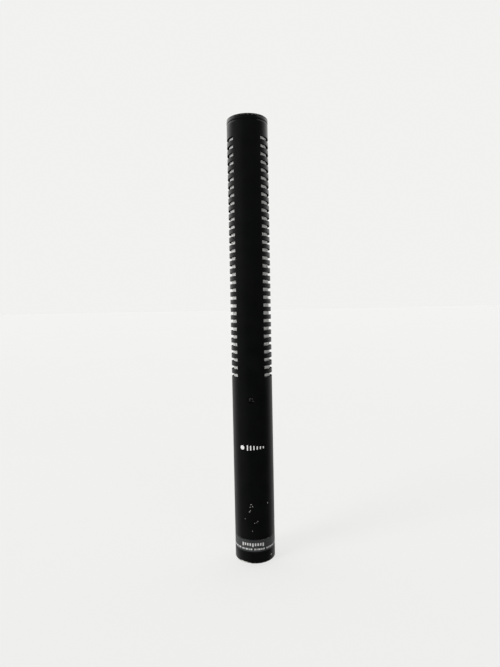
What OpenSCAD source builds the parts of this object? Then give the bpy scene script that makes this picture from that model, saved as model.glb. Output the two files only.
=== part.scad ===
// Short shotgun microphone, standing upright on its connector end.
// +Z runs along the tube from the connector to the front cap. The printed front faces -Y.
// Lengths are in millimetres, and every height is measured from the tail face at z = 0.

/* [Body] */
// Overall length
mic_l = 233.3; // [225:0.1:240]
// Outside diameter of the tube, the cap and the tail
mic_d = 21.6; // [21.4:0.1:21.8]
// Wall of the slotted tube
wall = 1.1; // [1:0.05:1.15]

/* [Slots] */
// Slots on each side
slot_count = 31; // [10:1:31]
// Distance from one slot to the next
slot_pitch = 4.077; // [3:0.001:4.1]
// Width of the saw cut
slot_h = 1.73; // [1:0.01:2]
// Distance of the cut's straight bottom from the tube's axis
slot_x = 7.05; // [6.5:0.05:8]
// Height of the lowest slot's middle
slot_z = 99.73; // [99:0.01:101]

/* [Front cap] */
// Height of the cap above its joint line
cap_h = 2.5; // [2:0.1:2.6]
// Radius of the front opening
cap_open_r = 8.3; // [7.8:0.1:8.5]
// Bevel around the front edge
cap_bevel = 0.3; // [0.2:0.1:0.5]

/* [Tail] */
// Height of the black tail ring
tail_ring_h = 6.4; // [5.5:0.1:7]
// Height of the grey band above it
band_h = 6.4; // [6:0.1:6.6]
// Thickness of the grey band
band_t = 0.33; // [0.2:0.01:0.4]
// Radius of the connector's bore
socket_r = 8.1; // [8.05:0.05:8.2]
// Depth of the connector's bore
socket_depth = 15; // [14:0.5:16]

/* [Connector] */
// Radius of a contact pin
pin_r = 1.2; // [1.1:0.05:1.25]
// Radius of the circle that the three pins stand on
pin_circle_r = 3.95; // [3.8:0.05:4]
// Angle of the two upper pins above the X axis, in degrees
pin_lift = 25; // [20:1:30]
// How far the pins stand back from the mouth
pin_setback = 2.8; // [2:0.1:4]

/* [Capsule] */
// Height of the capsule screw
screw_z = 87.1; // [86:0.1:88]
// Outside radius of the capsule
capsule_r = 6.6; // [6:0.1:6.8]
// Rear end of the capsule holder
holder_z = 79; // [78.5:0.5:80]
// Front end of the capsule holder
holder_top = 95.5; // [95:0.5:96]

/* [Amplifier] */
// Top face of the front bulkhead
chassis_top = 76; // [70:0.5:76]
// Width of the circuit board
board_w = 13.6; // [12:0.1:13.7]
// Thickness of the circuit board
board_t = 1; // [0.8:0.1:1.2]

/* [Hidden] */
$fn = 96;

// Fits
run = 0.05;                            // radial clearance of a running fit
snug = 0.02;                           // gap between pieces that stay together

// Tube and its ends
mic_r = mic_d / 2;
tube_r = mic_r - wall;                 // bore of the slotted tube
tube_z = tail_ring_h + band_h;         // where the tube stands on the tail
tube_top = mic_l - cap_h;
spigot_r = tube_r - run;
spigot_top = 25;
cap_spigot_h = 5;

// Woven screen and the cloth inside it
screen_r = tube_r - run;
screen_t = 0.3;
screen_z = 97.4;
screen_top = tube_top - cap_spigot_h - 0.1;
cloth_t = 0.3;

// Grille in the front cap
lip_t = 1.4;
seat_r = 9;
grille_t = 0.4;
grille_z = mic_l - lip_t - grille_t;
grille_ring_h = 2;

// Capsule screw and its hole
screw_head_r = 1.5;
screw_hole_r = 1.65;
screw_shank_r = 0.95;
screw_head_y = mic_r - 0.4;            // outer face of the head, measured from the axis
screw_head_t = 1;
screw_tip_y = 7.7;

// Capsule holder and rubber rings
holder_bore = 7.5;
holder_lip_r = 6.9;
holder_lip_t = 1;
ring_r = (holder_bore + capsule_r) / 2;
ring_t = (holder_bore - capsule_r) / 2 - 0.01;

// Capsule, from its front plate backwards
case_top = 94.3;
case_z = 85.5;
case_wall = 0.6;
case_front_t = 0.8;
case_in_r = capsule_r - case_wall;
stack_r = case_in_r - snug;
ring_in_r = 5.2;
dia_ring_h = 1;
dia_t = 0.05;
spacer_t = 0.1;
plate_r = 5;
plate_t = 1.6;
dia_ring_z = case_top - case_front_t - dia_ring_h - 0.1;
dia_z = dia_ring_z - dia_t;
spacer_z = dia_z - spacer_t;
plate_z = spacer_z - plate_t - 0.05;
insulator_z = plate_z - 2;
damper_t = 0.7;
damper_z = insulator_z - damper_t - snug;
clamp_t = 0.9;
clamp_z = damper_z - clamp_t - snug;
stud_r = 0.8;
stud_z = 80.5;

// Connector
insert_z = socket_depth;
insert_t = 5.2;
insert_top = insert_z + insert_t;
insert_r = socket_r - snug;
cup_r = 1.55;
cup_top = 26.2;
pin_spots = [                          // ground, hot, cold
    [-pin_circle_r * cos(pin_lift), pin_circle_r * sin(pin_lift)],
    [pin_circle_r * cos(pin_lift), pin_circle_r * sin(pin_lift)],
    [0, -pin_circle_r]];
lock_r = 1.2;                          // insert screw
lock_z = insert_z + 2.7;
lock_y = 9.1;
lock_tip_y = 6.6;
seal_z = tube_z + 1.7;
seal_t = 0.42;
seal_groove_r = spigot_r - 2 * seal_t - 0.05;

// Chassis
step_z = 21.2;                         // step in the spigot that the rear bulkhead sits on
step_r = 8.6;
bulk_t = 2;
rear_bulk_top = step_z + bulk_t;
front_bulk_z = chassis_top - bulk_t;
front_bulk_r = 9.3;
rail_x0 = 6.2;
rail_x1 = 7.7;
rail_w = 4.4;
clip_z = rear_bulk_top + 0.1;
clip_t = 0.8;
clip_r = 8.9;
rail_screw_x = 7.25;
rail_screw_r = 0.4;
rail_head_r = 0.75;
rail_head_t = 0.6;

// Amplifier
board_z0 = 25.2;
board_z1 = front_bulk_z - 0.6;
board_y = board_t / 2;
lead_r = 0.22;
leg_out = 0.12;                        // how far a leg stands out on the far side of the board
resistor_rows = [30.2, 50, 53.4, 56.8];
resistor_reach = 3.6;
gate_row = 66.5;
gate_reach = 5;
film_row = 46.6;
film_reach = 2.5;
can_row = 51.4;
can_reach = 2.8;
can_r = 2.5;
transistor_row = 59.1;
transistor_pitch = 1.2;
wire_r = 0.4;
wire_row = cup_top + 2;

// ---------- shapes used more than once ----------

// A plain ring or sleeve.
module ring(r_out, r_in, z0, z1) {
    translate([0, 0, z0])
        difference() {
            cylinder(r = r_out, h = z1 - z0);
            translate([0, 0, -1]) cylinder(r = r_in, h = z1 - z0 + 2);
        }
}

// A disc.
module disc(r, z0, z1) {
    translate([0, 0, z0]) cylinder(r = r, h = z1 - z0);
}

// A block given by its lowest and highest corners.
module block(low, high) {
    translate(low) cube(high - low);
}

// A rubber ring around the Z axis.
module o_ring(r, section_r, z) {
    translate([0, 0, z]) rotate_extrude() translate([r, 0]) circle(r = section_r, $fn = 32);
}

// One straight length of round wire or rod from a to b.
module rod(a, b, r) {
    d = b - a;
    translate(a)
        rotate([0, acos(d[2] / norm(d)), atan2(d[1], d[0])])
            cylinder(r = r, h = norm(d), $fn = 24);
}

// A bent wire through a list of points, with round bends.
module wire(points, r) {
    for (i = [0 : len(points) - 2]) rod(points[i], points[i + 1], r);
    for (i = [1 : len(points) - 2]) translate(points[i]) sphere(r = r, $fn = 24);
}

// Holes spaced evenly around a circle.
module hole_circle(count, circle_r, r, z0, z1) {
    for (i = [0 : count - 1])
        rotate(360 / count * i) translate([circle_r, 0, z0]) cylinder(r = r, h = z1 - z0, $fn = 32);
}

// ---------- front assembly ----------

// The saw cuts, in two opposite rows.
module slot_cuts() {
    for (i = [0 : slot_count - 1], turn = [0, 180])
        rotate(turn)
            translate([slot_x, -mic_r, slot_z + i * slot_pitch - slot_h / 2])
                cube([mic_r, mic_d, slot_h]);
}

module housing_tube() {
    color([0.06, 0.06, 0.065])
        difference() {
            ring(mic_r, tube_r, tube_z, tube_top);
            slot_cuts();
            translate([0, 0, screw_z]) rotate([90, 0, 0]) cylinder(r = screw_hole_r, h = mic_r + 1);
        }
}

module front_cap() {
    color([0.08, 0.08, 0.085])
        rotate_extrude()
            polygon([
                [spigot_r, tube_top - cap_spigot_h], [spigot_r, tube_top],
                [mic_r - 0.15, tube_top], [mic_r, tube_top + 0.15],
                [mic_r, mic_l - cap_bevel], [mic_r - cap_bevel, mic_l],
                [cap_open_r + 0.3, mic_l], [cap_open_r, mic_l - 0.3],
                [cap_open_r, mic_l - lip_t], [seat_r, mic_l - lip_t],
                [seat_r, tube_top - cap_spigot_h]]);
}

module front_grille() {
    color([0.55, 0.55, 0.56]) disc(seat_r - snug, grille_z, grille_z + grille_t);
}

module grille_ring() {
    color([0.6, 0.6, 0.62])
        ring(seat_r - snug, seat_r - 1, grille_z - grille_ring_h, grille_z - snug);
}

module acoustic_screen() {
    color([0.62, 0.62, 0.62]) ring(screen_r, screen_r - screen_t, screen_z, screen_top);
}

module damping_sleeve() {
    color([0.2, 0.2, 0.21])
        ring(screen_r - screen_t - snug, screen_r - screen_t - cloth_t, screen_z, screen_top);
}

module capsule_seal() {
    color([0.12, 0.12, 0.12]) ring(screen_r, holder_lip_r, holder_top + snug, screen_z - snug);
}

module capsule_holder() {
    color([0.16, 0.16, 0.17])
        difference() {
            ring(tube_r - run, holder_lip_r, holder_z, holder_top);
            disc(holder_bore, holder_z - 1, holder_top - holder_lip_t);
            translate([0, 0, screw_z]) rotate([90, 0, 0]) {
                cylinder(r = screw_shank_r + run, h = mic_r);
                translate([0, 0, screw_head_y - screw_head_t - run])
                    cylinder(r = screw_head_r + run, h = mic_r);
            }
        }
}

module capsule_ring_front() {
    color([0.07, 0.07, 0.07]) o_ring(ring_r, ring_t, case_top - 1.4);
}

module capsule_ring_rear() {
    color([0.07, 0.07, 0.07]) o_ring(ring_r, ring_t, case_z + 1.2);
}

module capsule_case() {
    color([0.75, 0.75, 0.77])
        difference() {
            disc(capsule_r, case_z, case_top);
            disc(case_in_r, case_z - 1, case_top - case_front_t);
            disc(0.9, case_top - 2, case_top + 1);
            hole_circle(6, 3.2, 0.9, case_top - 2, case_top + 1);
        }
}

module diaphragm_ring() {
    color([0.8, 0.66, 0.3]) ring(stack_r, ring_in_r, dia_ring_z, dia_ring_z + dia_ring_h);
}

module diaphragm() {
    color([0.85, 0.72, 0.35]) disc(stack_r, dia_z, dia_z + dia_t);
}

module diaphragm_spacer() {
    color([0.85, 0.8, 0.6]) ring(stack_r, ring_in_r, spacer_z, spacer_z + spacer_t);
}

module backplate() {
    color([0.8, 0.66, 0.3])
        difference() {
            disc(plate_r, plate_z, plate_z + plate_t);
            hole_circle(6, 1.8, 0.3, plate_z - 1, plate_z + 3);
            hole_circle(12, 3.6, 0.3, plate_z - 1, plate_z + 3);
        }
}

module backplate_insulator() {
    color([0.9, 0.9, 0.86])
        difference() {
            disc(stack_r, insulator_z, spacer_z - snug);
            disc(plate_r + snug, plate_z, spacer_z + 1);
            disc(stud_r + snug, insulator_z - 1, plate_z + 1);
            hole_circle(6, 3.2, 0.8, insulator_z - 1, plate_z + 1);
        }
}

module rear_damper() {
    color([0.35, 0.34, 0.33]) ring(stack_r, stud_r + 0.3, damper_z, damper_z + damper_t);
}

module capsule_clamp_ring() {
    color([0.72, 0.72, 0.74])
        difference() {
            ring(stack_r, 4.4, clamp_z, clamp_z + clamp_t);
            for (turn = [0, 180])
                rotate(turn) block([4, -0.5, clamp_z - 1], [stack_r + 1, 0.5, clamp_z + 0.4]);
        }
}

module contact_stud() {
    color([0.83, 0.68, 0.32]) {
        disc(stud_r, stud_z, plate_z - snug);
        disc(1.15, stud_z, stud_z + 0.6);
    }
}

module capsule_screw() {
    color([0.3, 0.3, 0.31])
        translate([0, 0, screw_z]) rotate([90, 0, 0])
            difference() {
                union() {
                    translate([0, 0, screw_tip_y])
                        cylinder(r = screw_shank_r, h = screw_head_y - screw_tip_y);
                    translate([0, 0, screw_head_y - screw_head_t])
                        cylinder(r = screw_head_r, h = screw_head_t);
                }
                for (turn = [0, 90])
                    rotate(turn)
                        translate([-1.05, -0.22, screw_head_y - 0.6]) cube([2.1, 0.44, 1]);
            }
}

// ---------- tail assembly ----------

// The spigot's thread, drawn as plain ridges.
thread_z = lock_z + 1.6;
thread_pitch = 0.7;
thread_turns = 6;
thread_depth = 0.3;

module spigot_grooves() {
    for (i = [0 : thread_turns - 1])
        translate([0, 0, thread_z + i * thread_pitch])
            rotate_extrude()
                polygon([[spigot_r - thread_depth, 0.35], [spigot_r + 0.1, 0.05],
                         [spigot_r + 0.1, 0.65]]);
}

// The keyway and the pocket that a plug's latch snaps into, both towards the back.
module plug_guides() {
    block([-1.1, 0, -1], [1.1, socket_r + 0.8, insert_z]);
    block([-2.6, 0, 5.4], [2.6, socket_r + 0.9, 8]);
}

module tail_shell() {
    color([0.05, 0.05, 0.055])
        difference() {
            rotate_extrude()
                polygon([
                    [socket_r, 0.5], [socket_r + 0.5, 0], [mic_r - 0.35, 0], [mic_r - 0.1, 0.1],
                    [mic_r, 0.35], [mic_r, tail_ring_h],
                    [mic_r - band_t - snug, tail_ring_h], [mic_r - band_t - snug, tube_z],
                    [spigot_r, tube_z], [spigot_r, spigot_top - 0.4],
                    [spigot_r - 0.4, spigot_top], [step_r, spigot_top],
                    [step_r, step_z], [socket_r, step_z]]);
            ring(mic_r, seal_groove_r, seal_z - seal_t - run, seal_z + seal_t + run);
            ring(clip_r + 0.04, socket_r, clip_z - 0.04, clip_z + clip_t + 0.04);
            spigot_grooves();
            plug_guides();
            translate([0, 0, lock_z]) rotate([-90, 0, 0]) cylinder(r = lock_r + run, h = mic_r);
        }
}

module label_band() {
    color([0.24, 0.24, 0.25]) ring(mic_r, mic_r - band_t, tail_ring_h + snug, tube_z - snug);
}

module tail_seal() {
    color([0.07, 0.07, 0.07]) o_ring(spigot_r - seal_t - 0.01, seal_t, seal_z);
}

module connector_insert() {
    color([0.1, 0.1, 0.1])
        difference() {
            disc(insert_r, insert_z, insert_top);
            for (spot = pin_spots)
                translate([spot[0], spot[1], insert_z - 1])
                    cylinder(r = cup_r + snug, h = insert_t + 2);
            translate([0, lock_tip_y - 0.2, lock_z]) rotate([-90, 0, 0])
                cylinder(r = lock_r + run, h = 3);
        }
}

// One contact: a round-ended pin in front, a solder cup behind.
module contact_pin(spot) {
    translate([spot[0], spot[1], 0])
        difference() {
            rotate_extrude()
                polygon([
                    [0, pin_setback], [pin_r - 0.5, pin_setback], [pin_r - 0.15, pin_setback + 0.2],
                    [pin_r, pin_setback + 0.6], [pin_r, insert_z], [cup_r, insert_z],
                    [cup_r, cup_top], [0, cup_top]]);
            translate([0, 0, cup_top - 2.6]) cylinder(r = 0.85, h = 4);
            translate([-2, spot[1] > 0 ? -4 : 0.3, cup_top - 2.2]) cube([4, 3.7, 4]);
        }
}

module pin_ground() {
    color([0.82, 0.7, 0.4]) contact_pin(pin_spots[0]);
}

module pin_hot() {
    color([0.82, 0.7, 0.4]) contact_pin(pin_spots[1]);
}

module pin_cold() {
    color([0.82, 0.7, 0.4]) contact_pin(pin_spots[2]);
}

module ground_lug() {
    spot = pin_spots[0];
    color([0.7, 0.7, 0.68])
        difference() {
            union() {
                translate([spot[0], spot[1], insert_top + snug]) cylinder(r = 2.3, h = 0.35);
                rotate(180 - pin_lift)
                    block([pin_circle_r, -0.9, insert_top + snug],
                          [socket_r - 0.1, 0.9, insert_top + snug + 0.35]);
            }
            translate([spot[0], spot[1], insert_top - 1]) cylinder(r = cup_r + snug, h = 3);
        }
}

module insert_screw() {
    color([0.3, 0.3, 0.31])
        translate([0, 0, lock_z]) rotate([-90, 0, 0])
            difference() {
                translate([0, 0, lock_tip_y]) cylinder(r = lock_r, h = lock_y - lock_tip_y);
                translate([-2, -0.2, lock_y - 0.6]) cube([4, 0.4, 1]);
            }
}

module retaining_ring() {
    color([0.5, 0.5, 0.5])
        difference() {
            ring(clip_r, clip_r - 0.75, clip_z, clip_z + clip_t);
            block([-2, 0, clip_z - 1], [2, clip_r + 1, clip_z + clip_t + 1]);
        }
}

module rear_bulkhead() {
    color([0.72, 0.72, 0.74])
        difference() {
            disc(step_r - 0.04, step_z, rear_bulk_top);
            for (spot = pin_spots)
                translate([spot[0], spot[1], step_z - 1]) cylinder(r = cup_r + 0.5, h = bulk_t + 2);
            for (side = [-1, 1])
                translate([side * rail_screw_x, 0, step_z - 1])
                    cylinder(r = rail_screw_r + snug, h = bulk_t + 2);
        }
}

module front_bulkhead() {
    color([0.72, 0.72, 0.74])
        difference() {
            disc(front_bulk_r, front_bulk_z, chassis_top);
            for (side = [-1, 1])
                translate([side * rail_screw_x, 0, front_bulk_z - 1])
                    cylinder(r = rail_screw_r + snug, h = bulk_t + 2);
            translate([0, 2.6, front_bulk_z - 1]) cylinder(r = 0.9, h = bulk_t + 2);
        }
}

// One side rail, with a groove for the edge of the board.
module rail() {
    difference() {
        block([rail_x0, -rail_w / 2, rear_bulk_top + snug],
              [rail_x1, rail_w / 2, front_bulk_z - snug]);
        block([rail_x0 - 1, -board_y - snug, rear_bulk_top],
              [board_w / 2 + snug, board_y + snug, front_bulk_z]);
        for (z = [rear_bulk_top - 1, front_bulk_z - 3])
            translate([rail_screw_x, 0, z]) cylinder(r = rail_screw_r + snug, h = 4);
    }
}

module rail_left() {
    color([0.72, 0.72, 0.74]) mirror([1, 0, 0]) rail();
}

module rail_right() {
    color([0.72, 0.72, 0.74]) rail();
}

// A small screw whose shank points up.
module rail_screw(x, z) {
    translate([x, 0, z]) {
        difference() {
            cylinder(r = rail_head_r, h = rail_head_t);
            translate([-1, -0.12, -1]) cube([2, 0.24, 1.25]);
        }
        cylinder(r = rail_screw_r, h = rail_head_t + bulk_t + 2.5);
    }
}

module chassis_screws() {
    color([0.6, 0.6, 0.6])
        for (side = [-1, 1]) {
            rail_screw(side * rail_screw_x, step_z - rail_head_t - snug);
            translate([0, 0, chassis_top + rail_head_t + snug]) mirror([0, 0, 1])
                rail_screw(side * rail_screw_x, 0);
        }
}

// ---------- amplifier ----------

// Every drilled hole as [x, z, radius of the leg in it].
board_holes = concat(
    [for (z = resistor_rows, side = [-1, 1]) [side * resistor_reach, z, lead_r]],
    [for (side = [-1, 1]) [side * gate_reach, gate_row, lead_r]],
    [for (side = [-1, 1]) [side * film_reach, film_row, lead_r]],
    [for (side = [-1, 1]) [side * can_reach, can_row, lead_r]],
    [for (i = [-1 : 1]) [i * transistor_pitch, transistor_row, lead_r]],
    [for (spot = pin_spots) [spot[0], wire_row, wire_r]]);

module circuit_board() {
    color([0.08, 0.3, 0.16])
        difference() {
            block([-board_w / 2, -board_y, board_z0], [board_w / 2, board_y, board_z1]);
            for (hole = board_holes)
                translate([hole[0], 0, hole[1]]) rotate([90, 0, 0])
                    cylinder(r = hole[2] + run, h = board_t + 2, center = true, $fn = 32);
        }
}

// The transformer stands on the front side of the board.
core_z0 = 31;
core_z1 = 42;
core_w = 9.2;
core_t = 3.6;
core_y = 4.1;                          // middle of the core, in front of the board
leg_w = 2.4;
window_w = 2;
yoke = 1.7;
coil_y = 3.1;                          // half the coil's depth
flange_t = 0.6;

module transformer_core() {
    color([0.34, 0.34, 0.36])
        difference() {
            block([-core_w / 2, -core_y - core_t / 2, core_z0],
                  [core_w / 2, -core_y + core_t / 2, core_z1]);
            for (side = [-1, 1])
                translate([side * (leg_w + window_w) / 2, -core_y, (core_z0 + core_z1) / 2])
                    cube([window_w, core_t + 2, core_z1 - core_z0 - 2 * yoke], center = true);
        }
}

bobbin_x = leg_w / 2 + window_w - snug;
bobbin_z0 = core_z0 + yoke + snug;
bobbin_z1 = core_z1 - yoke - snug;

// A rectangular tube around the core's middle leg, from the leg out to half-widths hx, hy.
module sleeve(hx, hy, in_x, in_y, z0, z1) {
    difference() {
        block([-hx, -core_y - hy, z0], [hx, -core_y + hy, z1]);
        block([-in_x, -core_y - in_y, z0 - 1], [in_x, -core_y + in_y, z1 + 1]);
    }
}

bobbin_wall = 0.4;

module transformer_bobbin() {
    in_x = leg_w / 2 + snug;
    in_y = core_t / 2 + snug;
    color([0.12, 0.12, 0.12]) {
        sleeve(in_x + bobbin_wall, in_y + bobbin_wall, in_x, in_y, bobbin_z0, bobbin_z1);
        for (z = [bobbin_z0, bobbin_z1 - flange_t])
            sleeve(bobbin_x, coil_y + 0.3, in_x, in_y, z, z + flange_t);
    }
}

module transformer_winding() {
    in_x = leg_w / 2 + bobbin_wall + 2 * snug;
    in_y = core_t / 2 + bobbin_wall + 2 * snug;
    color([0.75, 0.6, 0.15])
        sleeve(bobbin_x - 0.15, coil_y, in_x, in_y,
               bobbin_z0 + flange_t + snug, bobbin_z1 - flange_t - snug);
}

module film_capacitor() {
    color([0.65, 0.12, 0.1]) {
        block([-3.6, -board_y - 5.6, film_row - 1.6], [3.6, -board_y - 0.3, film_row + 1.6]);
        for (side = [-1, 1])
            rod([side * film_reach, -board_y - 1, film_row],
                [side * film_reach, board_y + leg_out, film_row], lead_r);
    }
}

module electrolytic_capacitors() {
    color([0.12, 0.14, 0.3])
        for (side = [-1, 1])
            translate([side * can_reach, -board_y - can_r - 0.15, can_row - 0.4]) {
                difference() {
                    cylinder(r = can_r, h = 11);
                    translate([0, 0, 0.9])
                        difference() {
                            cylinder(r = can_r + 1, h = 0.6);
                            translate([0, 0, -1]) cylinder(r = can_r - 0.2, h = 3);
                        }
                    for (turn = [0, 90])
                        rotate(turn) translate([-1.6, -0.1, 10.85]) cube([3.2, 0.2, 1]);
                }
                rod([0, can_r - 0.6, 0.4], [0, can_r + 0.15 + board_t + leg_out, 0.4], lead_r);
            }
}

// An axial part lying across the board on its back side.
module axial_part(body_r, body_l, reach, z) {
    y = board_y + body_r + 0.1;
    translate([-body_l / 2, y, z]) rotate([0, 90, 0]) cylinder(r = body_r, h = body_l, $fn = 48);
    wire([[-reach, -board_y - leg_out, z], [-reach, y, z], [-body_l / 2 + 0.2, y, z]], lead_r);
    wire([[body_l / 2 - 0.2, y, z], [reach, y, z], [reach, -board_y - leg_out, z]], lead_r);
}

module resistors() {
    color([0.3, 0.5, 0.62])
        for (z = resistor_rows)
            axial_part(0.95, 3.6, resistor_reach, z);
}

module gate_resistor() {
    color([0.45, 0.28, 0.12]) axial_part(1.3, 7, gate_reach, gate_row);
}

module input_transistor() {
    body_r = 2.3;
    leg_y = board_y + 1.1;
    color([0.1, 0.1, 0.1]) {
        translate([0, board_y + 0.2, transistor_row + 0.7])
            intersection() {
                translate([0, 0.8, 0]) cylinder(r = body_r, h = 4.4);
                block([-body_r, 0, -1], [body_r, 4, 6]);
            }
        for (i = [-1 : 1]) {
            x = i * transistor_pitch;
            wire([[x, leg_y, transistor_row + 0.9], [x, leg_y, transistor_row],
                  [x, -board_y - leg_out, transistor_row]], lead_r);
        }
    }
}

module connector_leads() {
    color([0.55, 0.1, 0.1])
        for (spot = pin_spots) {
            side = spot[1] > 0 ? 1 : -1;
            wire([[spot[0], spot[1], cup_top - 1.8], [spot[0], spot[1], wire_row],
                  [spot[0], -side * (board_y + leg_out), wire_row]], wire_r);
        }
}

module contact_insulator() {
    color([0.92, 0.92, 0.9])
        difference() {
            disc(4.4, chassis_top + snug, chassis_top + 1);
            translate([0, 2.6, chassis_top - 1]) cylinder(r = 0.6, h = 3);
        }
}

// A spring leaf bent from one strip: a foot, a slope and a top pad under the stud.
leaf_t = 0.25;
leaf_w = 2.4;
leaf_foot_z = chassis_top + 1 + snug;
leaf_top_z = stud_z - 0.05;

module contact_leaf() {
    color([0.83, 0.68, 0.32]) {
        translate([-leaf_w / 2, 0, 0])
            rotate([90, 0, 90])
                linear_extrude(leaf_w)
                    polygon([
                        [3.4, leaf_foot_z], [3.4, leaf_foot_z + leaf_t],
                        [-1.2, leaf_foot_z + leaf_t], [-2.4, leaf_foot_z + 1],
                        [-1.4, leaf_top_z - leaf_t], [1.4, leaf_top_z - leaf_t],
                        [1.4, leaf_top_z], [-1.6, leaf_top_z],
                        [-2.75, leaf_foot_z + 1], [-1.35, leaf_foot_z]]);
        rod([0, 2.6, leaf_foot_z + 0.1], [0, 2.6, front_bulk_z - 2.4], lead_r + 0.1);
    }
}

housing_tube();
front_cap();
front_grille();
grille_ring();
acoustic_screen();
damping_sleeve();
capsule_seal();
capsule_holder();
capsule_ring_front();
capsule_ring_rear();
capsule_case();
diaphragm_ring();
diaphragm();
diaphragm_spacer();
backplate();
backplate_insulator();
rear_damper();
capsule_clamp_ring();
contact_stud();
capsule_screw();
tail_shell();
label_band();
tail_seal();
connector_insert();
pin_ground();
pin_hot();
pin_cold();
ground_lug();
insert_screw();
retaining_ring();
rear_bulkhead();
front_bulkhead();
rail_left();
rail_right();
chassis_screws();
circuit_board();
transformer_core();
transformer_bobbin();
transformer_winding();
film_capacitor();
electrolytic_capacitors();
resistors();
gate_resistor();
input_transistor();
connector_leads();
contact_insulator();
contact_leaf();
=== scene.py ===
"""Looks of a short shotgun microphone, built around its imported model.

Constants are in millimetres and degrees; every mesh is written in metres. The tube stands on the
origin along +Z, and its printed front faces -Y. Turning angles count from -Y towards +X.
"""

import math

import bmesh
import bpy
from mathutils import Matrix, Vector


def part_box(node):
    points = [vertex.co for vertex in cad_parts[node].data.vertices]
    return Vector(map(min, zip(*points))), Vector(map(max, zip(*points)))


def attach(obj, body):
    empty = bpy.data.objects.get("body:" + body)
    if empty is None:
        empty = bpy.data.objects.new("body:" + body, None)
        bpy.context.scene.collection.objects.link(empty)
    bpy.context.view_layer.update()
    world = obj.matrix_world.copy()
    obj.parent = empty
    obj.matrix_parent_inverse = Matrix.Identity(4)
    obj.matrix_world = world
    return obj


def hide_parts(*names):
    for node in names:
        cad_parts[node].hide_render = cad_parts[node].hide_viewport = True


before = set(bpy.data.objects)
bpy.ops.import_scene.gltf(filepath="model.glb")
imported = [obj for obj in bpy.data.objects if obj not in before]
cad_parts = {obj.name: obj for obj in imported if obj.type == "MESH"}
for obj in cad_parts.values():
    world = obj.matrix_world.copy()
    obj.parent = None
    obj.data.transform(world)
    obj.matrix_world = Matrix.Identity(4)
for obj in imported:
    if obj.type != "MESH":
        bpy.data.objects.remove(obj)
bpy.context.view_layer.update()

MM = 0.001


def box_mm(node):
    """A CAD node's lowest and highest corners in millimetres."""
    low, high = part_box(node)
    return low / MM, high / MM


# ---------- sizes, from the frame and the design ----------

TUBE_LOW, TUBE_HIGH = box_mm("housing_tube")
INK = 0.02  # how far the printed marks stand out
R = TUBE_HIGH.x - INK
TUBE_Z0, TUBE_Z1 = TUBE_LOW.z, TUBE_HIGH.z
WALL = 1.1
RUN = 0.05  # gap round a spigot
BORE_R = TUBE_HIGH.x - WALL
SLOT_COUNT = 31
SLOT_PITCH = 4.077
SLOT_H = 1.73
SLOT_X = 7.05
SLOT_Z = 99.73
TOP = box_mm("front_cap")[1].z
CAP_BEVEL = 0.3
SCREW_LOW, SCREW_HIGH = box_mm("capsule_screw")
SCREW_Z = (SCREW_LOW.z + SCREW_HIGH.z) / 2
SCREW_HOLE_R = 1.65
BAND_LOW, BAND_HIGH = box_mm("label_band")
BAND_Z0, BAND_Z1 = BAND_LOW.z, BAND_HIGH.z
BAND_WALL = 0.33
BAND_R0 = R - BAND_WALL
GRILLE_LOW, GRILLE_HIGH = box_mm("front_grille")
SCREEN_LOW, SCREEN_HIGH = box_mm("acoustic_screen")
SCREEN_R = SCREEN_HIGH.x
SCREEN_WALL = 0.3
SHELL_HIGH = box_mm("tail_shell")[1]
SOCKET_R = 8.1
SOCKET_Z = box_mm("connector_insert")[0].z


# ---------- mesh helpers ----------

SOFT_EDGE_ANGLE = 35  # edges sharper than this are rounded
SHARP_ANGLE = 38  # edges sharper than this stay hard in shading on the carved pieces


def make_object(name, verts, faces, materials, face_slots=None, sharp_deg=None):
    """A mesh object from points in millimetres, with smooth faces and outward normals."""
    mesh = bpy.data.meshes.new(name)
    mesh.from_pydata([Vector(v) * MM for v in verts], [], faces)
    for material in materials:
        mesh.materials.append(material)
    if face_slots:
        mesh.polygons.foreach_set("material_index", face_slots)
    shape = bmesh.new()
    shape.from_mesh(mesh)
    bmesh.ops.remove_doubles(shape, verts=shape.verts, dist=1e-7)
    bmesh.ops.recalc_face_normals(shape, faces=shape.faces)
    shape.to_mesh(mesh)
    shape.free()
    mesh.polygons.foreach_set("use_smooth", [True] * len(mesh.polygons))
    if sharp_deg:
        mesh.set_sharp_from_angle(angle=math.radians(sharp_deg))
    thing = bpy.data.objects.new(name, mesh)
    bpy.context.scene.collection.objects.link(thing)
    return thing


def soften(thing, width):
    """Rounds a piece's edges and keeps its flat faces flat in shading."""
    edge = thing.modifiers.new("edge", "BEVEL")
    edge.width = width * MM
    edge.segments = 2
    edge.limit_method = "ANGLE"
    edge.angle_limit = math.radians(SOFT_EDGE_ANGLE)
    weighted_normals(thing)


def weighted_normals(thing):
    thing.modifiers.new("normals", "WEIGHTED_NORMAL")


def bake_modifiers(thing):
    """Turns a piece's modifiers into plain mesh."""
    bpy.context.view_layer.update()
    graph = bpy.context.evaluated_depsgraph_get()
    mesh = bpy.data.meshes.new_from_object(thing.evaluated_get(graph))
    old = thing.data
    thing.modifiers.clear()
    thing.data = mesh
    bpy.data.meshes.remove(old)


def carve(thing, cutters):
    """Cuts solids out of a piece, then removes them."""
    for cutter in cutters:
        cut = thing.modifiers.new("cut", "BOOLEAN")
        cut.operation = "DIFFERENCE"
        cut.solver = "EXACT"
        cut.object = cutter
    bake_modifiers(thing)
    for cutter in cutters:
        bpy.data.objects.remove(cutter)


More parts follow.
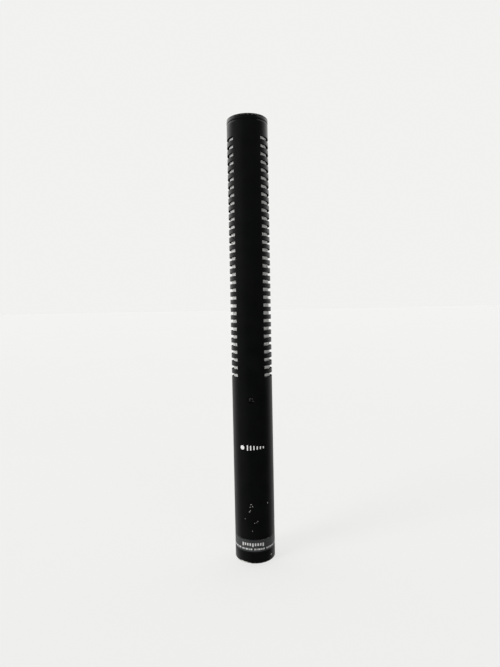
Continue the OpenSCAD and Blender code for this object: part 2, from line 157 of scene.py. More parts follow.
def rounded(corners, steps=4):
    """A closed outline from (r, z, corner radius) corners, each corner turned into an arc."""
    points = []
    count = len(corners)
    for i, (x, z, radius) in enumerate(corners):
        here = Vector((x, z))
        if radius <= 0:
            points.append(here)
            continue
        before = Vector(corners[i - 1][:2])
        after = Vector(corners[(i + 1) % count][:2])
        way_in = (before - here).normalized()
        way_out = (after - here).normalized()
        half = way_in.angle(way_out) / 2
        reach = radius / math.tan(half)
        centre = here + (way_in + way_out).normalized() * (radius / math.sin(half))
        start = here + way_in * reach - centre
        turn = start.angle_signed(here + way_out * reach - centre)
        for step in range(steps + 1):
            angle = -turn * step / steps
            spin = Matrix.Rotation(angle, 2)
            points.append(centre + spin @ start)
    return points


def lathe(name, outline, material, segments=96, closed=True):
    """Turns an outline of (r, z) points round Z. An open one starts and ends on the axis."""
    verts, rings = [], []
    for r, z in outline:
        if r < 1e-6:
            rings.append([len(verts)] * segments)
            verts.append((0, 0, z))
            continue
        rings.append(list(range(len(verts), len(verts) + segments)))
        for k in range(segments):
            a = 2 * math.pi * k / segments
            verts.append((r * math.sin(a), -r * math.cos(a), z))
    faces = []
    pairs = list(zip(rings, rings[1:]))
    if closed:
        pairs.append((rings[-1], rings[0]))
    for low, high in pairs:
        for k in range(segments):
            n = (k + 1) % segments
            face = list(dict.fromkeys([low[k], low[n], high[n], high[k]]))
            if len(face) > 2:
                faces.append(face)
    return make_object(name, verts, faces, [material])


def block(name, low, high):
    """A plain box between two corners, for cutting."""
    verts = [(x, y, z) for x in (low[0], high[0]) for y in (low[1], high[1])
             for z in (low[2], high[2])]
    faces = [(0, 1, 3, 2), (4, 6, 7, 5), (0, 4, 5, 1), (2, 3, 7, 6), (0, 2, 6, 4), (1, 5, 7, 3)]
    return make_object(name, verts, faces, [])


def turn_to_radius(thing, angle_deg, z):
    """Moves a piece turned on +Z at the origin so that its +Z points out from the tube's axis."""
    a = math.radians(angle_deg)
    out = Vector((math.sin(a), -math.cos(a), 0))
    side = Vector((math.cos(a), math.sin(a), 0))
    frame_matrix = Matrix((side, out.cross(side), out)).transposed().to_4x4()
    thing.data.transform(Matrix.Translation((0, 0, z * MM)) @ frame_matrix)


def wrapped(r, s, z):
    """The point at arc length s from the front line, on a tube of radius R moved to radius r."""
    a = s / R
    return (r * math.sin(a), -r * math.cos(a), z)


def ribbon(verts, faces, edge_a, edge_b, r_in, r_out):
    """Adds a thin solid strip on the tube between two rows of (s, z) points."""
    base = len(verts)
    count = len(edge_a)
    for r in (r_in, r_out):
        for edge in (edge_a, edge_b):
            verts.extend(wrapped(r, s, z) for s, z in edge)

    def at(layer, edge, i):
        return base + (layer * 2 + edge) * count + i

    for i in range(count - 1):
        for a, b in (((1, 0), (1, 1)), ((0, 1), (0, 0)), ((0, 0), (1, 0)), ((1, 1), (0, 1))):
            faces.append([at(*a, i), at(*a, i + 1), at(*b, i + 1), at(*b, i)])
    for i in (0, count - 1):
        faces.append([at(0, 0, i), at(0, 1, i), at(1, 1, i), at(1, 0, i)])


def bar_rows(s0, s1, z0, z1, step=0.4):
    """The lower and upper edges of a printed bar."""
    count = max(2, round((s1 - s0) / step) + 1)
    places = [s0 + (s1 - s0) * k / (count - 1) for k in range(count)]
    return [(s, z0) for s in places], [(s, z1) for s in places]


# ---------- material helpers ----------


def set_range(map_range, low, high, out_low, out_high):
    for socket, number in zip(("From Min", "From Max", "To Min", "To Max"),
                              (low, high, out_low, out_high)):
        map_range.inputs[socket].default_value = number


class Graph:
    """One material's nodes. Values that never vary are set on the shader's own sockets."""

    def __init__(self, name, color, roughness, **constants):
        self.material = bpy.data.materials.new(name)
        self.material.use_nodes = True
        self.tree = self.material.node_tree
        self.shader = self.tree.nodes["Principled BSDF"]
        self.shader.inputs["Base Color"].default_value = (*color, 1)
        self.shader.inputs["Roughness"].default_value = roughness
        for socket, value in constants.items():
            self.shader.inputs[socket.replace("_", " ")].default_value = value
        self.material.diffuse_color = (*color, 1)
        self.place = self.node("ShaderNodeTexCoord").outputs["Object"]

    def node(self, kind, **settings):
        made = self.tree.nodes.new(kind)
        for key, value in settings.items():
            setattr(made, key, value)
        return made

    def link(self, source, socket):
        self.tree.links.new(source, socket)

    def feed(self, socket, value):
        """Links an output, or sets a plain value."""
        if isinstance(value, bpy.types.NodeSocket):
            self.link(value, socket)
        else:
            socket.default_value = value

    def math(self, operation, a, b=0.0, clamp=False):
        made = self.node("ShaderNodeMath", operation=operation, use_clamp=clamp)
        self.feed(made.inputs[0], a)
        self.feed(made.inputs[1], b)
        return made.outputs[0]

    def noise(self, scale, detail=2.0, roughness=0.5, place=None):
        made = self.node("ShaderNodeTexNoise")
        self.link(place or self.place, made.inputs["Vector"])
        made.inputs["Scale"].default_value = scale
        made.inputs["Detail"].default_value = detail
        made.inputs["Roughness"].default_value = roughness
        return made.outputs[0]

    def span(self, value, low, high, out_low=0.0, out_high=1.0):
        """Maps low..high to out_low..out_high, and stops at both ends."""
        made = self.node("ShaderNodeMapRange")
        self.feed(made.inputs["Value"], value)
        set_range(made, low, high, out_low, out_high)
        return made.outputs[0]

    def blend(self, amount, color_a, color_b):
        made = self.node("ShaderNodeMix", data_type="RGBA")
        self.feed(made.inputs[0], amount)
        for socket, color in zip((made.inputs[6], made.inputs[7]), (color_a, color_b)):
            self.feed(socket, color if isinstance(color, bpy.types.NodeSocket) else (*color, 1))
        return made.outputs[2]

    def unwrapped(self):
        """(arc length from the front line, height) on the tube, in millimetres."""
        parts = self.node("ShaderNodeSeparateXYZ")
        self.link(self.place, parts.inputs[0])
        back = self.math("MULTIPLY", parts.outputs[1], -1.0)
        angle = self.math("ARCTAN2", parts.outputs[0], back)
        return self.math("MULTIPLY", angle, R), self.math("MULTIPLY", parts.outputs[2], 1 / MM)

    def pair(self, a, b):
        made = self.node("ShaderNodeCombineXYZ")
        self.feed(made.inputs[0], a)
        self.feed(made.inputs[1], b)
        return made.outputs[0]

    def color(self, value):
        self.link(value, self.shader.inputs["Base Color"])

    def rough(self, value):
        self.link(value, self.shader.inputs["Roughness"])

    def bump(self, height, depth_mm):
        made = self.node("ShaderNodeBump")
        made.inputs["Strength"].default_value = 1.0
        made.inputs["Distance"].default_value = depth_mm * MM
        self.link(height, made.inputs["Height"])
        self.link(made.outputs[0], self.shader.inputs["Normal"])


def mottled(name, color_a, color_b, rough_a, rough_b, scale=900.0, depth_mm=0.01, **constants):
    """A finish whose colour, gloss and surface all vary a little."""
    g = Graph(name, color_a, rough_a, **constants)
    broad = g.noise(scale * 0.2, 3)
    fine = g.noise(scale, 4, 0.6)
    g.color(g.blend(g.span(broad, 0.35, 0.65), color_a, color_b))
    g.rough(g.span(fine, 0.3, 0.7, rough_a, rough_b))
    g.bump(fine, depth_mm)
    return g.material


TOOL_LINES = 2500.0  # noise cells in each metre


def turned(name, color_a, color_b, rough_a, rough_b, axis="Z", depth_mm=0.004):
    """Lathe-turned or drawn metal: fine lines that follow each other along an axis."""
    g = Graph(name, color_a, rough_a, Metallic=1.0)
    parts = g.node("ShaderNodeSeparateXYZ")
    g.link(g.place, parts.inputs[0])
    along = g.math("MULTIPLY", parts.outputs["XYZ".index(axis)], TOOL_LINES)
    lines = g.noise(1.0, 3, 0.6, g.pair(along, 0.0))
    stain = g.noise(350.0, 3)
    g.color(g.blend(g.span(stain, 0.35, 0.7), color_a, color_b))
    g.rough(g.span(lines, 0.3, 0.7, rough_a, rough_b))
    g.bump(lines, depth_mm)
    return g.material


# ---------- finishes ----------

PAINT = (0.0018, 0.0023, 0.0021)
PAINT_DULL = (0.0028, 0.0032, 0.0031)
BARE_METAL = (0.6, 0.59, 0.56)
# The colour of the painted highlight lines along the rims, on the sides only, where the light
# catches them.
EDGE_HIGHLIGHT_PAINT = (0.2, 0.2, 0.2)

# Paint chips as (angle round the tube, height, half width, half height).
TUBE_CHIPS = (
    (-9.4, 30.6, 0.2, 0.2), (-6.6, 31.9, 0.3, 0.16), (-2.2, 30.8, 0.2, 0.26),
    (-11.4, 28.0, 0.32, 0.2), (-8.4, 28.7, 0.26, 0.16), (-25.0, 24.0, 0.12, 0.26),
    (2.4, 21.9, 0.26, 0.12), (8.0, 22.4, 0.22, 0.1), (11.8, 22.9, 0.14, 0.2),
    (-4.1, 17.7, 0.16, 0.16), (43.5, 31.8, 0.26, 0.34),
    (79.0, 20.8, 0.35, 0.3), (84.0, 19.6, 0.4, 0.35), (80.0, 18.0, 0.3, 0.45),
    (87.0, 16.6, 0.35, 0.3), (92.0, 22.4, 0.3, 0.3),
    (150.0, 16.0, 0.5, 0.4), (-140.0, 15.0, 0.4, 0.6), (165.0, 27.5, 0.3, 0.4),
    (-95.0, 19.5, 0.3, 0.3),
)
# The same on the tail ring.
RING_CHIPS = (
    (55.0, 3.0, 0.35, 0.45), (-37.0, 0.5, 1.3, 0.34), (-26.0, 0.4, 1.5, 0.32),
    (-14.0, 0.25, 1.2, 0.26), (-118.0, 2.2, 0.4, 0.3), (132.0, 3.6, 0.4, 0.4),
    (100.0, 0.3, 0.8, 0.22), (-160.0, 0.25, 1.1, 0.2),
)
# Painted glints on the screw's head: lighter spots that stand in for highlights, with heights from
# its middle.
SCREW_GLINTS = (
    (-5.4, 0.15, 0.2, 0.45), (-3.4, 0.9, 0.45, 0.2), (2.6, 0.85, 0.3, 0.2), (5.0, -0.5, 0.3, 0.3),
)
FAR_FROM_CHIPS = 9.0
# Painted highlight lines fade in between these two angles from the front, and run on round the
# back.
HIGHLIGHT_FROM, HIGHLIGHT_FULL = 28, 48


def chip_and_glint_mask(g, s, z, chips):
    """1 on the chips and on the screw's painted glints, with ragged outlines, and 0 elsewhere."""
    place = g.pair(s, z)
    ragged = g.noise(2600.0, 3, 0.7)
    nearest = FAR_FROM_CHIPS
    for angle, height, half_w, half_h in chips:
        away = g.node("ShaderNodeVectorMath", operation="SUBTRACT")
        g.link(place, away.inputs[0])
        away.inputs[1].default_value = (math.radians(angle) * R, height, 0)
        scaled = g.node("ShaderNodeVectorMath", operation="DIVIDE")
        g.link(away.outputs[0], scaled.inputs[0])
        scaled.inputs[1].default_value = (half_w, half_h, 1)
        length = g.node("ShaderNodeVectorMath", operation="LENGTH")
        g.link(scaled.outputs[0], length.inputs[0])
        nearest = g.math("MINIMUM", length.outputs["Value"], nearest)
    wobble = g.span(ragged, 0.3, 0.7, -0.55, 0.55)
    return g.span(g.math("ADD", nearest, wobble), 1.0, 0.85)


def black_paint(name, chips, gloss, edge_z=(), highlight_z=(), dull_z=()):
    """Satin black paint with a fine grain and small chips. Each (height, reach) is a line round the
    piece that is rubbed to bare metal, given a painted highlight on the sides only, or dull."""
    g = Graph(name, PAINT, 0.42, Specular_IOR_Level=gloss)
    s, z = g.unwrapped()
    broad = g.noise(120.0, 3)
    grain = g.noise(4200.0, 3, 0.6)
    mask = chip_and_glint_mask(g, s, z, chips)
    rub_noise = g.noise(1500.0, 4, 0.65)
    for height, reach in edge_z:
        near = g.span(g.math("ABSOLUTE", g.math("SUBTRACT", z, height)), 0.0, reach, 1.0, 0.0)
        wear_and_glint = g.span(g.math("ADD", g.math("MULTIPLY", near, 0.55), rub_noise), 1.02, 1.1)
        mask = g.math("MAXIMUM", mask, g.math("MULTIPLY", wear_and_glint, 0.8))
    coat = g.blend(g.span(broad, 0.35, 0.7), PAINT, PAINT_DULL)
    # Painted highlight: a metal-grey line at each of these heights, on the sides of the piece only.
    painted_highlight = 0.0
    sides = g.span(g.math("ABSOLUTE", s), *(math.radians(a) * R for a in (HIGHLIGHT_FROM, HIGHLIGHT_FULL)))
    for height, reach in highlight_z:
        near = g.span(g.math("ABSOLUTE", g.math("SUBTRACT", z, height)), 0.08, reach, 0.6, 0.0)
        painted_highlight = g.math("MAXIMUM", near, painted_highlight)
    if highlight_z:
        painted_highlight = g.math("MULTIPLY", painted_highlight, sides)
        coat = g.blend(painted_highlight, coat, EDGE_HIGHLIGHT_PAINT)
        g.link(painted_highlight, g.shader.inputs["Metallic"])
    g.color(g.blend(mask, coat, BARE_METAL))
    plain = g.span(broad, 0.3, 0.7, 0.3, 0.38)
    speckled = g.math("ADD", plain, g.span(grain, 0.3, 0.7, -0.04, 0.04))
    rough = g.math("ADD", speckled, g.math("MULTIPLY", mask, -0.06))
    for height, reach in dull_z:
        near = g.span(g.math("ABSOLUTE", g.math("SUBTRACT", z, height)), 0.1, reach, 0.6, 0.0)
        rough = g.math("ADD", rough, near, clamp=True)
    g.rough(rough)
    g.bump(g.math("SUBTRACT", g.math("MULTIPLY", grain, 0.12), mask), 0.03)
    return g.material


def band_grey(name):
    """The dark grey ground of the printed band."""
    g = Graph(name, (0.042, 0.044, 0.046), 0.4, Specular_IOR_Level=0.3)
    s, z = g.unwrapped()
    broad = g.noise(200.0, 3)
    grain = g.noise(3500.0, 3, 0.6)
    scuffs = g.noise(1.0, 4, 0.7, g.pair(g.math("MULTIPLY", s, 0.6), g.math("MULTIPLY", z, 5.0)))
    shade = g.blend(g.span(broad, 0.35, 0.65), (0.036, 0.038, 0.04), (0.048, 0.05, 0.052))
    g.color(g.blend(g.span(scuffs, 0.62, 0.72, 0.0, 0.5), shade, (0.1, 0.1, 0.1)))
    g.rough(g.span(grain, 0.3, 0.7, 0.34, 0.48))
    g.bump(grain, 0.004)
    return g.material


def print_ink(name, color, worn):
    """Printed ink that is thin and broken in places."""
    g = Graph(name, color, 0.5, Specular_IOR_Level=0.4)
    speckle = g.noise(3000.0, 4, 0.7)
    g.color(g.blend(g.span(speckle, 0.58, 0.72), color, worn))
    g.rough(g.span(speckle, 0.3, 0.7, 0.42, 0.6))
    g.bump(speckle, 0.004)
    return g.material


SCREEN_PITCH = 0.32


def woven_screen(name):
    """Fine plain-woven wire: crossed rows of humps, with painted shade dark between them."""
    g = Graph(name, (0.7, 0.7, 0.69), 0.5, Metallic=0.15)
    s, z = g.unwrapped()
    row = g.math("SINE", g.math("MULTIPLY", z, 2 * math.pi / SCREEN_PITCH))
    column = g.math("SINE", g.math("MULTIPLY", s, 2 * math.pi / SCREEN_PITCH))
    weave = g.math("MULTIPLY", row, column)
    hump = g.math("ABSOLUTE", weave)
    stain = g.noise(260.0, 3)
    wire = g.blend(g.span(stain, 0.35, 0.7), (0.88, 0.88, 0.86), (0.74, 0.74, 0.72))
    # Painted shade: the gaps between the wires are coloured dark grey.
    g.color(g.blend(g.span(hump, 0.0, 0.3), (0.3, 0.3, 0.29), wire))
    g.rough(g.span(hump, 0.0, 1.0, 0.65, 0.4))
    g.bump(g.math("ADD", g.math("MULTIPLY", weave, 0.4), hump), 0.05)
    return g.material


PLATE_PITCH = 0.35
TAPE_PITCH = 0.4


def laminated(name):
    """Stacked core plates, seen edge on along X and Z."""
    g = Graph(name, (0.1, 0.1, 0.11), 0.4, Metallic=0.8)
    parts = g.node("ShaderNodeSeparateXYZ")
    g.link(g.place, parts.inputs[0])
    stripe = g.math("SINE", g.math("MULTIPLY", parts.outputs[1], 2 * math.pi / (PLATE_PITCH * MM)))
    rust = g.noise(1200.0, 4, 0.6)
    plate = g.blend(g.span(rust, 0.5, 0.75), (0.12, 0.12, 0.13), (0.16, 0.1, 0.07))
    g.color(g.blend(g.span(stripe, -0.9, -0.4), (0.02, 0.02, 0.02), plate))
    g.rough(g.span(rust, 0.3, 0.7, 0.32, 0.6))
    g.bump(g.span(stripe, -1.0, -0.2), 0.04)
    return g.material


def board_mask(name):
    """Green solder mask with copper tracks showing through it."""
    g = Graph(name, (0.02, 0.12, 0.06), 0.25, Specular_IOR_Level=0.5)
    parts = g.node("ShaderNodeSeparateXYZ")
    g.link(g.place, parts.inputs[0])
    cells = g.node("ShaderNodeTexBrick", offset=0.37, squash=1.6)
    g.link(g.pair(parts.outputs[2], parts.outputs[0]), cells.inputs["Vector"])
    for socket, value in (("Scale", 1.0), ("Mortar Size", 0.00028), ("Brick Width", 0.0042),
                          ("Row Height", 0.0019), ("Mortar Smooth", 0.1)):
        cells.inputs[socket].default_value = value
    track = cells.outputs["Fac"]
    fibre = g.noise(2600.0, 3)
    ground = g.blend(g.span(fibre, 0.3, 0.7), (0.012, 0.085, 0.04), (0.02, 0.12, 0.055))
    g.color(g.blend(track, ground, (0.07, 0.26, 0.1)))
    g.rough(g.span(fibre, 0.3, 0.7, 0.22, 0.34))
    g.bump(g.math("ADD", g.math("MULTIPLY", fibre, 0.15), track), 0.03)
    return g.material


def wound_tape(name):
    """Yellow tape over windings: soft lines along the turns."""
    g = Graph(name, (0.55, 0.36, 0.04), 0.35, Specular_IOR_Level=0.5)
    parts = g.node("ShaderNodeSeparateXYZ")
    g.link(g.place, parts.inputs[0])
    lines = g.math("SINE", g.math("MULTIPLY", parts.outputs[2], 2 * math.pi / (TAPE_PITCH * MM)))
    cloud = g.noise(900.0, 3)
    g.color(g.blend(g.span(cloud, 0.35, 0.65), (0.5, 0.3, 0.03), (0.66, 0.46, 0.07)))
    g.rough(g.span(cloud, 0.3, 0.7, 0.28, 0.42))
    g.bump(g.math("ADD", g.math("MULTIPLY", lines, 0.5), cloud), 0.02)
    return g.material


def banded(name, body_a, body_b, bands):
    """A resistor's lacquer, with colour rings at places along X given in millimetres."""
    g = Graph(name, body_a, 0.25, Specular_IOR_Level=0.6)
    parts = g.node("ShaderNodeSeparateXYZ")
    g.link(g.place, parts.inputs[0])
    along = g.math("MULTIPLY", parts.outputs[0], 1 / MM)
    across = g.math("ABSOLUTE", along)
    cloud = g.noise(1500.0, 3)
    shade = g.blend(g.span(cloud, 0.35, 0.65), body_a, body_b)
    for place, color in bands:
        away = g.math("ABSOLUTE", g.math("SUBTRACT", along, place))
        shade = g.blend(g.span(away, 0.22, 0.16), shade, color)
    leg = g.span(across, bands[-1][0] + 0.55, bands[-1][0] + 0.6)
    g.color(g.blend(leg, shade, (0.5, 0.5, 0.48)))
    g.rough(g.span(cloud, 0.3, 0.7, 0.2, 0.34))
    g.link(leg, g.shader.inputs["Metallic"])
    g.bump(cloud, 0.01)
    return g.material


SCREW_RIM_R = 1.15  # the middle of the ring of painted glints on the screw's head


def screw_with_painted_glints(name):
    """Blackened steel, with painted glints: lighter patches on the head's rim and round its recess.
    """
    g = Graph(name, (0.02, 0.02, 0.021), 0.35, Metallic=0.4)
    parts = g.node("ShaderNodeSeparateXYZ")
    g.link(g.place, parts.inputs[0])
    height = g.math("SUBTRACT", g.math("MULTIPLY", parts.outputs[2], 1 / MM), SCREW_Z)
    across = g.math("MULTIPLY", parts.outputs[0], 1 / MM)
    away = g.node("ShaderNodeVectorMath", operation="LENGTH")
    g.link(g.pair(across, height), away.inputs[0])
    away = away.outputs["Value"]
    # Painted glints: a patchy ring round the recess and the listed spots are coloured lighter,
    # standing in for highlights.
    off_rim = g.math("ABSOLUTE", g.math("SUBTRACT", away, SCREW_RIM_R))
    rim = g.math("SUBTRACT", 1.0, g.math("MULTIPLY", off_rim, 3.0))
    patches = g.noise(950.0, 3, 0.6)
    wear_and_glint = g.span(g.math("ADD", g.math("MULTIPLY", rim, 0.3), patches), 0.86, 0.94)
    glint_spots = chip_and_glint_mask(g, across, height, SCREW_GLINTS)
    grain = g.noise(4000.0, 3)
    black = g.blend(wear_and_glint, (0.006, 0.0065, 0.0065), (0.1, 0.1, 0.098))
    g.color(g.blend(glint_spots, black, (0.15, 0.15, 0.145)))
    g.rough(g.span(grain, 0.3, 0.7, 0.28, 0.45))
    g.bump(grain, 0.01)
    return g.material


CUT_BLACK = mottled("cut_black", (0.0016, 0.0018, 0.0017), (0.003, 0.0032, 0.003), 0.7, 0.9, 2400,
                    Specular_IOR_Level=0.02)
TUBE_PAINT = black_paint(
    "tube_paint", TUBE_CHIPS, 0.2, edge_z=((TUBE_Z0, 0.5),), highlight_z=((TUBE_Z1 - 0.45, 0.4),),
    dull_z=((TUBE_Z1, 0.35),))
RING_PAINT = black_paint(
    "ring_paint", RING_CHIPS, 0.26, edge_z=((0.45, 0.4), (TOP - 0.6, 0.35)),
    highlight_z=((TOP - 1.2, 0.7),), dull_z=((TUBE_Z1, 0.35), (TOP, 0.4)))
BAND_GREY = band_grey("band_print")
BAND_INK = print_ink("band_ink", (0.62, 0.62, 0.61), (0.3, 0.3, 0.3))
MARK_INK = print_ink("mark_ink", (0.86, 0.86, 0.85), (0.5, 0.5, 0.5))
SCREEN = woven_screen("screen_weave")
GRILLE_WIRE = turned("grille_weave", (0.3, 0.3, 0.31), (0.22, 0.22, 0.23), 0.3, 0.5, "X")
STEEL = turned("steel_bare", (0.6, 0.6, 0.61), (0.48, 0.48, 0.49), 0.22, 0.42)
SCREW_STEEL = screw_with_painted_glints("screw_steel")
DARK_STEEL = turned("steel_dark", (0.02, 0.02, 0.021), (0.045, 0.045, 0.046), 0.28, 0.45, "Y")
CLOTH = mottled("cloth_dark", (0.05, 0.05, 0.055), (0.08, 0.08, 0.085), 0.8, 0.95, 2600, 0.05)
FELT = mottled("felt_grey", (0.16, 0.15, 0.145), (0.22, 0.21, 0.2), 0.85, 1.0, 2200, 0.08)
RUBBER = mottled(
    "rubber_black", (0.012, 0.012, 0.012), (0.022, 0.022, 0.022), 0.55, 0.75, 1800, 0.01)
BLACK_PLASTIC = mottled(
    "plastic_black", (0.018, 0.018, 0.019), (0.03, 0.03, 0.031), 0.4, 0.55, 1600, 0.012)
WHITE_PLASTIC = mottled(
    "plastic_white", (0.75, 0.75, 0.72), (0.66, 0.66, 0.62), 0.35, 0.5, 900, 0.01)
ALUMINIUM = turned("aluminium_turned", (0.66, 0.66, 0.68), (0.55, 0.55, 0.57), 0.25, 0.42)
GOLD = turned("gold_plate", (0.83, 0.62, 0.28), (0.72, 0.5, 0.2), 0.16, 0.32, depth_mm=0.002)
FOIL = turned("foil_gold", (0.9, 0.74, 0.4), (0.82, 0.64, 0.32), 0.1, 0.2, depth_mm=0.001)
BOARD = board_mask("board_green")
CORE = laminated("core_steel")
TAPE = wound_tape("coil_tape")
RED_DIP = mottled("capacitor_red", (0.36, 0.03, 0.02), (0.28, 0.02, 0.015), 0.2, 0.34, 700, 0.03)
BLUE_SLEEVE = mottled(
    "capacitor_blue", (0.02, 0.035, 0.13), (0.03, 0.05, 0.18), 0.28, 0.42, 700, 0.01)
BLUE_RESISTOR = banded(
    "resistor_blue", (0.1, 0.26, 0.4), (0.13, 0.32, 0.46),
    ((-1.2, (0.25, 0.08, 0.02)), (-0.4, (0.01, 0.01, 0.01)), (0.4, (0.5, 0.12, 0.02)),
     (1.25, (0.25, 0.08, 0.02))))
BROWN_RESISTOR = banded(
    "resistor_brown", (0.22, 0.09, 0.03), (0.28, 0.12, 0.04),
    ((-2.4, (0.02, 0.12, 0.03)), (0.0, (0.01, 0.03, 0.2)), (2.95, (0.6, 0.42, 0.1))))
RED_WIRE = mottled("wire_red", (0.38, 0.025, 0.02), (0.3, 0.02, 0.015), 0.35, 0.5, 1200, 0.01)


# ---------- CAD nodes that keep their shape ----------

NODE_FINISHES = {
    "grille_ring": STEEL, "damping_sleeve": CLOTH, "capsule_seal": RUBBER,
    "capsule_holder": BLACK_PLASTIC, "capsule_ring_front": RUBBER, "capsule_ring_rear": RUBBER,
    "capsule_case": ALUMINIUM, "diaphragm_ring": GOLD, "diaphragm": FOIL,
    "diaphragm_spacer": WHITE_PLASTIC, "backplate": GOLD, "backplate_insulator": WHITE_PLASTIC,
    "rear_damper": FELT, "capsule_clamp_ring": ALUMINIUM, "contact_stud": GOLD,
    "tail_seal": RUBBER, "connector_insert": BLACK_PLASTIC, "pin_ground": GOLD, "pin_hot": GOLD,
    "pin_cold": GOLD, "ground_lug": STEEL, "insert_screw": DARK_STEEL, "retaining_ring": STEEL,
    "rear_bulkhead": ALUMINIUM, "front_bulkhead": ALUMINIUM, "rail_left": ALUMINIUM,
    "rail_right": ALUMINIUM, "chassis_screws": STEEL, "circuit_board": BOARD,
    "transformer_core": CORE, "transformer_bobbin": BLACK_PLASTIC, "transformer_winding": TAPE,
    "film_capacitor": RED_DIP, "electrolytic_capacitors": BLUE_SLEEVE,
    "resistors": BLUE_RESISTOR, "gate_resistor": BROWN_RESISTOR,
    "input_transistor": BLACK_PLASTIC, "connector_leads": RED_WIRE,
    "contact_insulator": WHITE_PLASTIC, "contact_leaf": GOLD,
}


def finish_cad_nodes():
    for name, material in NODE_FINISHES.items():
        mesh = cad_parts[name].data
        if not mesh.materials:
            mesh.materials.append(material)
        for i in range(len(mesh.materials)):
            mesh.materials[i] = material


# ---------- the slotted tube ----------

FRONT_COLUMNS = 28
SIDE_COLUMNS = 36
WINDOW = 4  # half of the screw window, in columns and in rows
WINDOW_HALF = 2.2
TUBE_EDGE = 0.1


def tube_columns(radius):
    """Angles round the tube. The cuts end on whole columns: the flat bottoms at x = +-SLOT_X."""
    end = math.asin(SLOT_X / radius)
    angles = []
    for start, stop, count in (
        (-end, end, FRONT_COLUMNS),
        (end, math.pi - end, SIDE_COLUMNS),
        (math.pi - end, math.pi + end, FRONT_COLUMNS),
        (math.pi + end, 2 * math.pi - end, SIDE_COLUMNS),
    ):
        angles += [start + (stop - start) * k / count for k in range(count)]
    return angles


def tube_rows():
    """Heights up the tube, and which gaps between them are saw cuts or the screw window."""
    rows, kinds = [TUBE_Z0], []

    def climb(top, count, kind):
        start = rows[-1]
        for k in range(count):
            rows.append(start + (top - start) * (k + 1) / count)
            kinds.append(kind)

    climb(SCREW_Z - WINDOW_HALF, 12, "wall")
    climb(SCREW_Z + WINDOW_HALF, 2 * WINDOW, "window")
    for i in range(SLOT_COUNT):
        middle = SLOT_Z + i * SLOT_PITCH
        climb(middle - SLOT_H / 2, 2 if i == 0 else 1, "wall")
        climb(middle + SLOT_H / 2, 1, "cut")
    climb(TUBE_Z1, 2, "wall")
    return rows, kinds


def make_tube():
    rows, kinds = tube_rows()
    walls = ((R, tube_columns(R)), (BORE_R, tube_columns(BORE_R)))
    count = len(walls[0][1])
    verts = []
    for radius, angles in walls:
        for z in rows:
            verts += [(radius * math.sin(a), -radius * math.cos(a), z) for a in angles]

    def at(wall, row, column):
        return (wall * len(rows) + row) * count + column % count

    half = FRONT_COLUMNS // 2
    sides = set(range(FRONT_COLUMNS, FRONT_COLUMNS + SIDE_COLUMNS))
    sides |= set(range(2 * FRONT_COLUMNS + SIDE_COLUMNS, count))
    window = set(range(half - WINDOW, half + WINDOW))
    faces, cut_faces = [], []
    for k, kind in enumerate(kinds):
        for j in range(count):
            if (kind == "cut" and j in sides) or (kind == "window" and j in window):
                continue
            for wall in (0, 1):
                faces.append([at(wall, k, j), at(wall, k, j + 1),
                              at(wall, k + 1, j + 1), at(wall, k + 1, j)])
        if kind == "cut":
            for j in sides:
                for row in (k, k + 1):
                    cut_faces.append([at(0, row, j), at(0, row, j + 1),
                                      at(1, row, j + 1), at(1, row, j)])
                if j - 1 not in sides:
                    for end in (j, j + SIDE_COLUMNS):
                        cut_faces.append([at(0, k, end), at(0, k + 1, end),
                                          at(1, k + 1, end), at(1, k, end)])
    for row in (0, len(rows) - 1):
        for j in range(count):
            faces.append([at(0, row, j), at(0, row, j + 1), at(1, row, j + 1), at(1, row, j)])

    # The round screw hole inside its square window.
    first = kinds.index("window")
    left, right = half - WINDOW, half + WINDOW
    low, high = first, first + 2 * WINDOW
    rim = [(low, j) for j in range(left, right)] + [(k, right) for k in range(low, high)]
    rim += [(high, j) for j in range(right, left, -1)] + [(k, left) for k in range(high, low, -1)]
    hole = []
    for wall, (radius, _) in enumerate(walls):
        ring = []
        for row, column in rim:
            x, _, z = verts[at(wall, row, column)]
            turn = math.atan2(z - SCREW_Z, x)
            hx, hz = SCREW_HOLE_R * math.cos(turn), SCREW_HOLE_R * math.sin(turn)
            ring.append(len(verts))
            verts.append((hx, -math.sqrt(radius ** 2 - hx ** 2), SCREW_Z + hz))
        hole.append(ring)
        edge = [at(wall, row, column) for row, column in rim]
        for i in range(len(rim)):
            n = (i + 1) % len(rim)
            faces.append([edge[i], edge[n], ring[n], ring[i]])
    for i in range(len(rim)):
        n = (i + 1) % len(rim)
        faces.append([hole[0][i], hole[0][n], hole[1][n], hole[1][i]])

    slots = [0] * len(faces) + [1] * len(cut_faces)
    tube = make_object("slotted_tube", verts, faces + cut_faces, [TUBE_PAINT, CUT_BLACK], slots)
    soften(tube, TUBE_EDGE)
    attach(tube, "housing")
    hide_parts("housing_tube")


# ---------- front cap, front mesh and woven screen ----------


CAP_BORE_R = 8.3
CAP_SEAT_R = 9.0
CAP_LIP_Z = 231.9


def make_cap():
    low = box_mm("front_cap")[0].z
    spigot = BORE_R - RUN
    cap = lathe("front_cap_ring", rounded([
        (spigot, low, 0.15), (spigot, TUBE_Z1, 0), (R - 0.2, TUBE_Z1, 0.05),
        (R, TUBE_Z1 + 0.2, 0.08), (R, TOP - CAP_BEVEL, 0.12), (R - CAP_BEVEL, TOP, 0.12),
        (CAP_BORE_R + 0.3, TOP, 0.1), (CAP_BORE_R, TOP - 0.3, 0.1), (CAP_BORE_R, CAP_LIP_Z, 0.05),
        (CAP_SEAT_R, CAP_LIP_Z, 0), (CAP_SEAT_R, low, 0.1),
    ]), RING_PAINT, 128)
    weighted_normals(cap)
    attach(cap, "housing")
    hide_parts("front_cap")


WEAVE_PITCH = 0.72
WEAVE_WIRE_R = 0.15
WEAVE_SIDES = 6
WEAVE_STEPS = 4
WEAVE_DOME = 0.75


